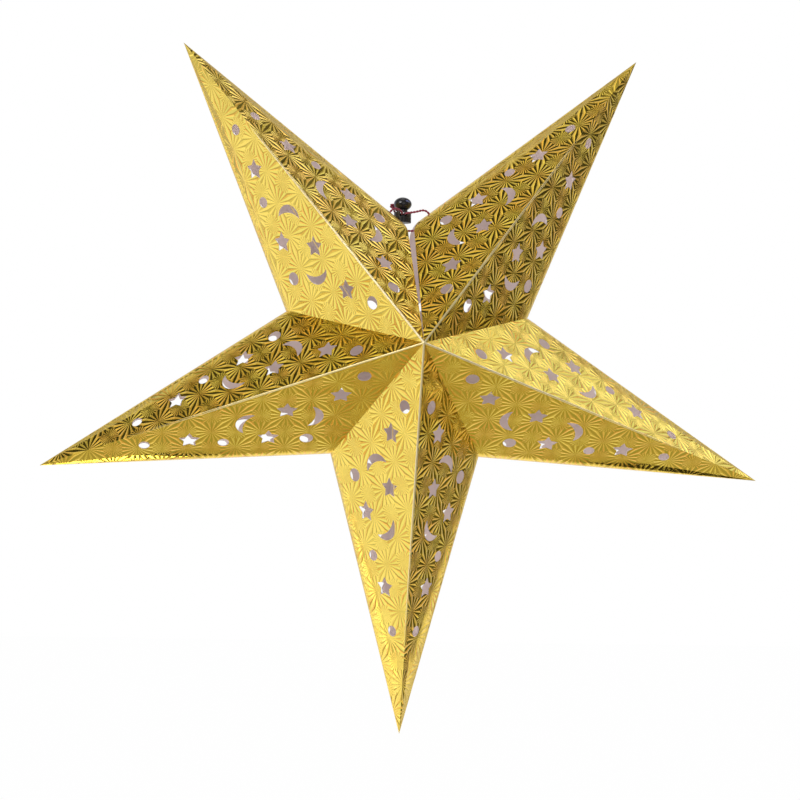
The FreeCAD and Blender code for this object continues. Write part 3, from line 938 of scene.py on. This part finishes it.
def make_camera():
    """The photograph's camera, placed from the star's centre."""
    tilt, swing, roll = CAMERA_TURN
    rolled = Matrix.Rotation(roll, 4, "Z") @ Matrix.Rotation(tilt, 4, "X")
    turn = rolled @ Matrix.Rotation(swing, 4, "Y")
    upright = Matrix.Rotation(math.radians(-90), 4, "X")
    into_star = upright @ Matrix.Translation(-STAR_CENTRE)
    shift = Matrix.Translation((*CAMERA_SHIFT, -CAMERA_DISTANCE))
    data = bpy.data.cameras.new("camera")
    data.sensor_width = SENSOR_WIDTH
    data.lens = FOCAL_PIXELS / IMAGE_WIDTH * SENSOR_WIDTH
    data.clip_start = 0.05
    data.clip_end = 100
    camera = add_object("camera", data)
    camera.matrix_world = (shift @ turn @ into_star).inverted()
    bpy.context.scene.camera = camera


class STAR_OT_stage(bpy.types.Operator):
    """Sets the floor, the light tent, the lights and the camera"""

    bl_idname = "star.stage"
    bl_label = "Stage"

    def execute(self, context):
        stage = settings("star_stage")
        low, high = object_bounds()
        floor_height = low.z - stage.floor_drop

        def build_floor(work):
            bmesh.ops.create_grid(work, x_segments=1, y_segments=1, size=FLOOR_REACH)
            bmesh.ops.translate(work, vec=(0, 0, floor_height), verts=work.verts)

        def build_tent(work):
            bmesh.ops.create_icosphere(work, subdivisions=5, radius=stage.tent_radius)
            bmesh.ops.translate(work, vec=STAR_CENTRE, verts=work.verts)

        floor = plain_mesh_object("floor", build_floor, floor_material(stage.floor_colour))
        floor.visible_glossy = False
        tent = plain_mesh_object("light_tent", build_tent, tent_material(stage.tent_level))
        tent.visible_camera = False
        tent.visible_diffuse = False
        tent.visible_shadow = False
        tent.visible_transmission = False
        make_world()
        add_light("key_light", KEY_LIGHT_PLACE, STAR_CENTRE, KEY_LIGHT_SIZE, stage.key_power)
        add_light(
            "side_light", SIDE_LIGHT_PLACE, SIDE_LIGHT_AIM, SIDE_LIGHT_SIZE, stage.side_power,
            SIDE_LIGHT_COLOUR,
        )
        for index in range(len(CARDS)):
            for row, (reach, radius, share) in enumerate(INNER_LAMPS):
                name = "inner_light_%d_%d" % (index, row)
                power = share * stage.inner_power
                add_inner_light(name, arm_place(index, reach), radius, power)
        make_camera()
        context.scene.view_settings.view_transform = "Standard"
        return {"FINISHED"}


class STAR_PT_panel(bpy.types.Panel):
    """Lists the pieces of the star lantern"""

    bl_idname = "STAR_PT_panel"
    bl_label = "Star Lantern"
    bl_space_type = "VIEW_3D"
    bl_region_type = "UI"
    bl_category = "Star Lantern"

    def draw(self, context):
        for operator in OPERATORS:
            self.layout.operator(operator.bl_idname)
        for name, group in SETTINGS.items():
            box = self.layout.box()
            for prop in group.__annotations__:
                box.prop(settings(name), prop)


OPERATORS = (STAR_OT_cards, STAR_OT_creases, STAR_OT_cord, STAR_OT_lock, STAR_OT_stage)
CLASSES = (*SETTINGS.values(), *OPERATORS, STAR_PT_panel)


def register():
    for kind in CLASSES:
        bpy.utils.register_class(kind)
    for name, group in SETTINGS.items():
        setattr(bpy.types.Scene, name, PointerProperty(type=group))


def unregister():
    for name in SETTINGS:
        delattr(bpy.types.Scene, name)
    for kind in reversed(CLASSES):
        bpy.utils.unregister_class(kind)


def main():
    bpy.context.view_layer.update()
    register()
    for operator in OPERATORS:
        group, action = operator.bl_idname.split(".")
        getattr(getattr(bpy.ops, group), action)()


if __name__ == "__main__":
    main()
